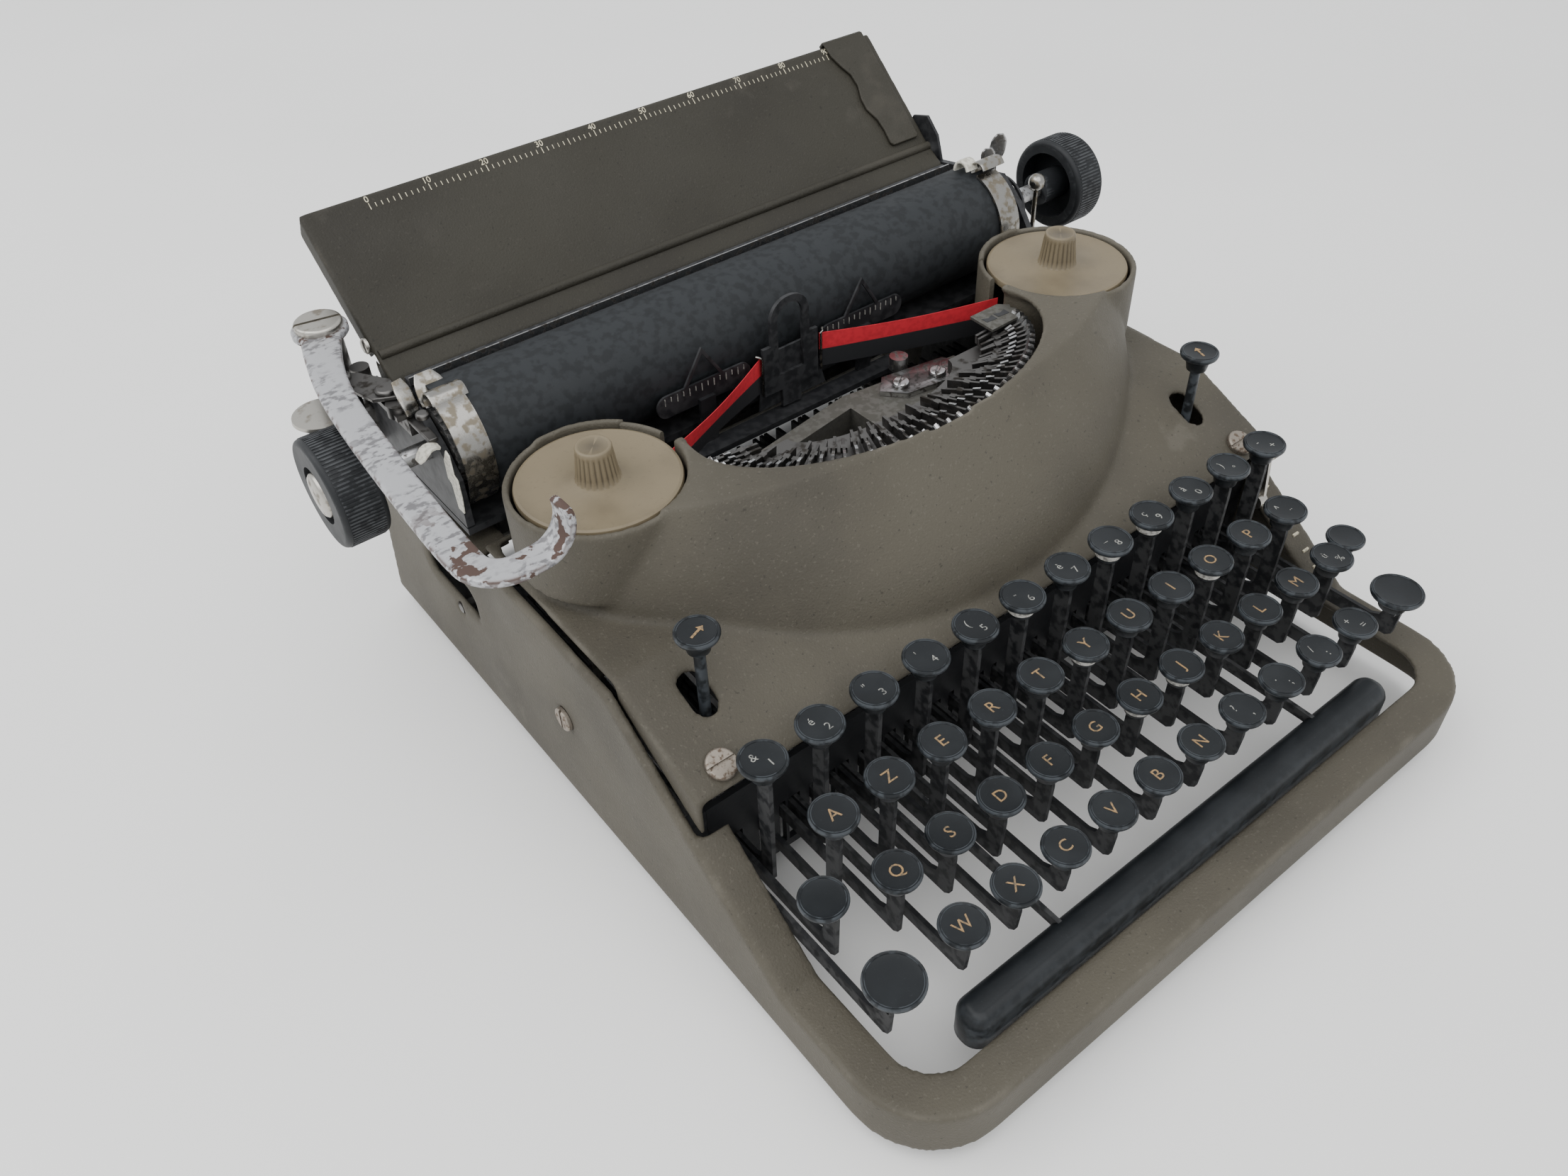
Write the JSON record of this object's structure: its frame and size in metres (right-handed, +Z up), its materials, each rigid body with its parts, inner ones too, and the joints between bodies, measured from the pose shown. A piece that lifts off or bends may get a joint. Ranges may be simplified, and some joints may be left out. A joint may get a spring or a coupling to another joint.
{
  "type": "portable typewriter",
  "caption": "Portable manual typewriter with a sloped keyboard, domed top cover over two ribbon spools, a tilted paper table and a sliding carriage.",
  "frame": {"origin": "on the table, under the middle of the machine's width and depth", "axes": "+X to the typist's right, +Y to the back of the machine, +Z up"},
  "size_m": [0.3192, 0.3048, 0.1575],
  "materials": {
    "casing_paint": "matte wrinkle",
    "table_paint": "matte wrinkle",
    "feet_rubber": "matte",
    "screw_steel": "worn",
    "bright_steel": "satin",
    "dark_steel": "oiled",
    "black_steel": "satin",
    "cast_grey": "rough",
    "ribbon_cloth": "woven",
    "nickel": "worn polish",
    "platen_rubber": "satin",
    "knob_plastic": "satin",
    "lever_silver": "worn silver paint",
    "key_plastic": "satin",
    "spool_tan": "matte"
  },
  "bodies": {
    "frame": {"base_frame": "casing_paint", "top_cover": "casing_paint", "rubber_feet": "feet_rubber", "casing_screws": "screw_steel", "key_comb": "black_steel", "fulcrum_rod": "bright_steel", "type_bars": "bright_steel", "type_bed": "dark_steel", "mechanism_casting": "cast_grey", "centre_plate": "bright_steel", "card_holders": "black_steel", "ribbon": "ribbon_cloth", "rear_bracket": "dark_steel"},
    "shift_frame": {"carriage_rails": "dark_steel"},
    "carriage": {"carriage_bed": "black_steel", "carriage_end_left": "black_steel", "carriage_end_right": "black_steel", "platen_band_left": "nickel", "platen_band_right": "nickel", "paper_table": "table_paint", "paper_strip": "nickel", "feed_rollers": "platen_rubber", "deflector": "black_steel", "lever_pivot_screw": "nickel", "lever_bracket": "dark_steel", "line_space_link": "nickel"},
    "platen_roll": {"platen": "platen_rubber", "platen_shaft": "bright_steel", "platen_knob_left": "knob_plastic", "platen_knob_right": "knob_plastic", "knob_caps": "nickel", "ratchet_wheel": "bright_steel"},
    "key_column_01": {"key_column_01": "key_plastic"},
    "key_column_02": {"key_column_02": "key_plastic"},
    "key_column_03": {"key_column_03": "key_plastic"},
    "key_column_04": {"key_column_04": "key_plastic"},
    "key_column_05": {"key_column_05": "key_plastic"},
    "key_column_06": {"key_column_06": "key_plastic"},
    "key_column_07": {"key_column_07": "key_plastic"},
    "key_column_08": {"key_column_08": "key_plastic"},
    "key_column_09": {"key_column_09": "key_plastic"},
    "key_column_10": {"key_column_10": "key_plastic"},
    "key_column_11": {"key_column_11": "key_plastic"},
    "space_bar": {"space_bar": "key_plastic"},
    "shift_key_left": {"shift_key_left": "key_plastic"},
    "shift_key_right": {"shift_key_right": "key_plastic"},
    "shift_lock": {"shift_lock": "key_plastic"},
    "backspace_key": {"backspace_key": "key_plastic"},
    "arrow_key_left": {"arrow_key_left": "key_plastic"},
    "arrow_key_right": {"arrow_key_right": "key_plastic"},
    "touch_lever": {"touch_lever": "nickel"},
    "ribbon_guide": {"ribbon_guide": "black_steel"},
    "ribbon_spool_left": {"ribbon_spool_left": "spool_tan"},
    "ribbon_spool_right": {"ribbon_spool_right": "spool_tan"},
    "spring_drum": {"spring_drum": "dark_steel"},
    "escapement_wheel": {"escapement_wheel": "bright_steel"},
    "return_lever": {"return_lever": "lever_silver"},
    "paper_guide": {"paper_guide": "table_paint"},
    "paper_release_lever": {"paper_release_lever": "nickel"},
    "ball_lever": {"ball_lever": "nickel"}
  },
  "joints": [
    {"name": "shift_lift", "type": "slide", "parent": "frame", "child": "shift_frame", "axis": [0, 0, 1], "range_m": [0, 0.006]},
    {"name": "carriage_slide", "type": "slide", "parent": "shift_frame", "child": "carriage", "axis": [1, 0, 0], "range_m": [-0.095, 0.095]},
    {"name": "platen_turn", "type": "hinge", "parent": "carriage", "child": "platen_roll", "pos_m": [0, 0.0726, 0.1089], "axis": [1, 0, 0], "continuous": true},
    {"name": "key_press_01", "type": "hinge", "parent": "frame", "child": "key_column_01", "pos_m": [0, 0.0776, 0.041], "axis": [1, 0, 0], "range_deg": [0, 4.2], "stiffness_Nm_per_rad": 0.6, "springref_deg": -14.32},
    {"name": "key_press_02", "type": "hinge", "parent": "frame", "child": "key_column_02", "pos_m": [0, 0.0776, 0.041], "axis": [1, 0, 0], "range_deg": [0, 4.2], "stiffness_Nm_per_rad": 0.6, "springref_deg": -14.32},
    {"name": "key_press_03", "type": "hinge", "parent": "frame", "child": "key_column_03", "pos_m": [0, 0.0776, 0.041], "axis": [1, 0, 0], "range_deg": [0, 4.2], "stiffness_Nm_per_rad": 0.6, "springref_deg": -14.32},
    {"name": "key_press_04", "type": "hinge", "parent": "frame", "child": "key_column_04", "pos_m": [0, 0.0776, 0.041], "axis": [1, 0, 0], "range_deg": [0, 4.2], "stiffness_Nm_per_rad": 0.6, "springref_deg": -14.32},
    {"name": "key_press_05", "type": "hinge", "parent": "frame", "child": "key_column_05", "pos_m": [0, 0.0776, 0.041], "axis": [1, 0, 0], "range_deg": [0, 4.2], "stiffness_Nm_per_rad": 0.6, "springref_deg": -14.32},
    {"name": "key_press_06", "type": "hinge", "parent": "frame", "child": "key_column_06", "pos_m": [0, 0.0776, 0.041], "axis": [1, 0, 0], "range_deg": [0, 4.2], "stiffness_Nm_per_rad": 0.6, "springref_deg": -14.32},
    {"name": "key_press_07", "type": "hinge", "parent": "frame", "child": "key_column_07", "pos_m": [0, 0.0776, 0.041], "axis": [1, 0, 0], "range_deg": [0, 4.2], "stiffness_Nm_per_rad": 0.6, "springref_deg": -14.32},
    {"name": "key_press_08", "type": "hinge", "parent": "frame", "child": "key_column_08", "pos_m": [0, 0.0776, 0.041], "axis": [1, 0, 0], "range_deg": [0, 4.2], "stiffness_Nm_per_rad": 0.6, "springref_deg": -14.32},
    {"name": "key_press_09", "type": "hinge", "parent": "frame", "child": "key_column_09", "pos_m": [0, 0.0776, 0.041], "axis": [1, 0, 0], "range_deg": [0, 4.2], "stiffness_Nm_per_rad": 0.6, "springref_deg": -14.32},
    {"name": "key_press_10", "type": "hinge", "parent": "frame", "child": "key_column_10", "pos_m": [0, 0.0776, 0.041], "axis": [1, 0, 0], "range_deg": [0, 4.2], "stiffness_Nm_per_rad": 0.6, "springref_deg": -14.32},
    {"name": "key_press_11", "type": "hinge", "parent": "frame", "child": "key_column_11", "pos_m": [0, 0.0776, 0.041], "axis": [1, 0, 0], "range_deg": [0, 4.2], "stiffness_Nm_per_rad": 0.6, "springref_deg": -14.32},
    {"name": "space_press", "type": "hinge", "parent": "frame", "child": "space_bar", "pos_m": [0, 0.0776, 0.041], "axis": [1, 0, 0], "range_deg": [0, 2.2], "stiffness_Nm_per_rad": 1, "springref_deg": -14.32},
    {"name": "shift_press_left", "type": "hinge", "parent": "frame", "child": "shift_key_left", "pos_m": [0, 0.0776, 0.041], "axis": [1, 0, 0], "range_deg": [0, 4.1]},
    {"name": "shift_press_right", "type": "hinge", "parent": "frame", "child": "shift_key_right", "pos_m": [0, 0.0776, 0.041], "axis": [1, 0, 0], "range_deg": [0, 4.1]},
    {"name": "lock_press", "type": "hinge", "parent": "frame", "child": "shift_lock", "pos_m": [0, 0.0776, 0.041], "axis": [1, 0, 0], "range_deg": [0, 2], "stiffness_Nm_per_rad": 0.4, "springref_deg": -14.32},
    {"name": "backspace_press", "type": "hinge", "parent": "frame", "child": "backspace_key", "pos_m": [0, 0.0776, 0.041], "axis": [1, 0, 0], "range_deg": [0, 2], "stiffness_Nm_per_rad": 0.4, "springref_deg": -14.32},
    {"name": "arrow_press_left", "type": "slide", "parent": "frame", "child": "arrow_key_left", "axis": [0, 0, -1], "range_m": [0, 0.007], "stiffness_N_per_m": 60, "springref_m": -0.006},
    {"name": "arrow_press_right", "type": "slide", "parent": "frame", "child": "arrow_key_right", "axis": [0, 0, -1], "range_m": [0, 0.007], "stiffness_N_per_m": 60, "springref_m": -0.006},
    {"name": "touch_turn", "type": "hinge", "parent": "frame", "child": "touch_lever", "pos_m": [0.111, -0.0664, 0.052], "axis": [1, 0, 0], "range_deg": [-9, 12]},
    {"name": "ribbon_lift", "type": "slide", "parent": "frame", "child": "ribbon_guide", "axis": [0, 0, 1], "range_m": [0, 0.006]},
    {"name": "spool_turn_left", "type": "hinge", "parent": "frame", "child": "ribbon_spool_left", "pos_m": [-0.0947, 0.0219, 0.111], "axis": [0, 0, 1], "continuous": true},
    {"name": "spool_turn_right", "type": "hinge", "parent": "frame", "child": "ribbon_spool_right", "pos_m": [0.0947, 0.0219, 0.111], "axis": [0, 0, 1], "continuous": true},
    {"name": "drum_turn", "type": "hinge", "parent": "frame", "child": "spring_drum", "pos_m": [-0.062, 0.0876, 0.066], "axis": [0, 0, 1], "range_deg": [-350, 350]},
    {"name": "escapement_turn", "type": "hinge", "parent": "frame", "child": "escapement_wheel", "pos_m": [0.024, 0.0876, 0.0705], "axis": [0, 1, 0], "range_deg": [-500, 500]},
    {"name": "return_swing", "type": "hinge", "parent": "carriage", "child": "return_lever", "pos_m": [-0.1315, 0.1196, 0.131], "axis": [0, 0, 1], "range_deg": [0, 25]},
    {"name": "guide_slide", "type": "slide", "parent": "carriage", "child": "paper_guide", "axis": [1, 0, 0], "range_m": [-0.185, 0.002]},
    {"name": "release_swing", "type": "hinge", "parent": "carriage", "child": "paper_release_lever", "pos_m": [0, 0.0791, 0.1], "axis": [1, 0, 0], "range_deg": [0, 10]},
    {"name": "ball_swing", "type": "hinge", "parent": "carriage", "child": "ball_lever", "pos_m": [0, 0.0646, 0.094], "axis": [1, 0, 0], "range_deg": [0, 18]}
  ],
  "couplings": [
    {"joint": "shift_press_left", "follows": "shift_lift", "rad_per_m": 11.667},
    {"joint": "shift_press_right", "follows": "shift_lift", "rad_per_m": 11.667},
    {"joint": "drum_turn", "follows": "carriage_slide", "rad_per_m": 50},
    {"joint": "escapement_turn", "follows": "carriage_slide", "rad_per_m": 80},
    {"joint": "spool_turn_right", "follows": "spool_turn_left", "ratio": 1}
  ]
}
